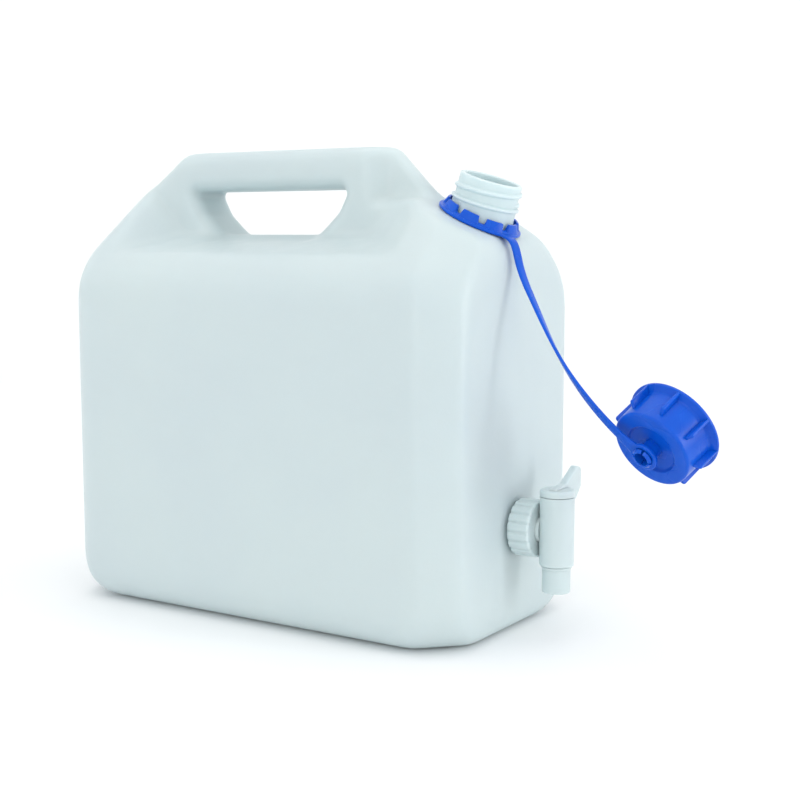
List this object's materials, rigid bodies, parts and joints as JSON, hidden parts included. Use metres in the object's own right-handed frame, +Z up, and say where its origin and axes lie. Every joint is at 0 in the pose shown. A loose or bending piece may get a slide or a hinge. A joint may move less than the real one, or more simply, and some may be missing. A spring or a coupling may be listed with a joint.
{
  "type": "jerry can",
  "caption": "Translucent plastic water jerry can with a grip hole, a threaded neck, a tethered screw cap and a quarter-turn tap",
  "frame": {"origin": "on the floor under the middle of the can's body, which is the middle of the flat band across its base", "axes": "+X runs along the can towards the neck and the tap, +Z is up, and Y is the can's thickness"},
  "size_m": [0.4327, 0.17, 0.2995],
  "materials": {
    "natural_hdpe": "milky translucent blow-moulded polyethylene",
    "blue_plastic": "satin moulded polyethylene",
    "seal_foam": "soft closed-cell foam disc",
    "gasket_rubber": "matt rubber",
    "tap_plastic": "milky moulded polyethylene"
  },
  "bodies": {
    "can": {"can_body": "natural_hdpe", "tap_gasket": "gasket_rubber", "tap_nut": "tap_plastic", "tap_body": "tap_plastic"},
    "tether_ring": {"tether_ring": "blue_plastic"},
    "tether_strap": {"tether_strap": "blue_plastic"},
    "cap": {"cap": "blue_plastic", "cap_seal": "seal_foam"},
    "tap_plug": {"tap_plug": "tap_plastic"}
  },
  "joints": [
    {"name": "ring_swivel", "type": "hinge", "parent": "can", "child": "tether_ring", "pos_m": [0.1237, 0, 0.253], "axis": [0.4226, 0, 0.9063], "range_deg": [-6, 32]},
    {"name": "strap_bend", "type": "hinge", "parent": "tether_ring", "child": "tether_strap", "pos_m": [0.14959, -0.00908, 0.24236], "axis": [0.2801, 0.9511, -0.1306], "range_deg": [-55, 3], "stiffness_Nm_per_rad": 0.35, "springref_deg": -3.44},
    {"name": "cap_spin", "type": "hinge", "parent": "tether_strap", "child": "cap", "pos_m": [0.24432, -0.02429, 0.12131], "axis": [-0.2626, -0.8258, -0.4991], "continuous": true},
    {"name": "tap_turn", "type": "hinge", "parent": "can", "child": "tap_plug", "pos_m": [0.179, 0, 0.067], "axis": [0, 0, -1], "range_deg": [0, 90]}
  ]
}
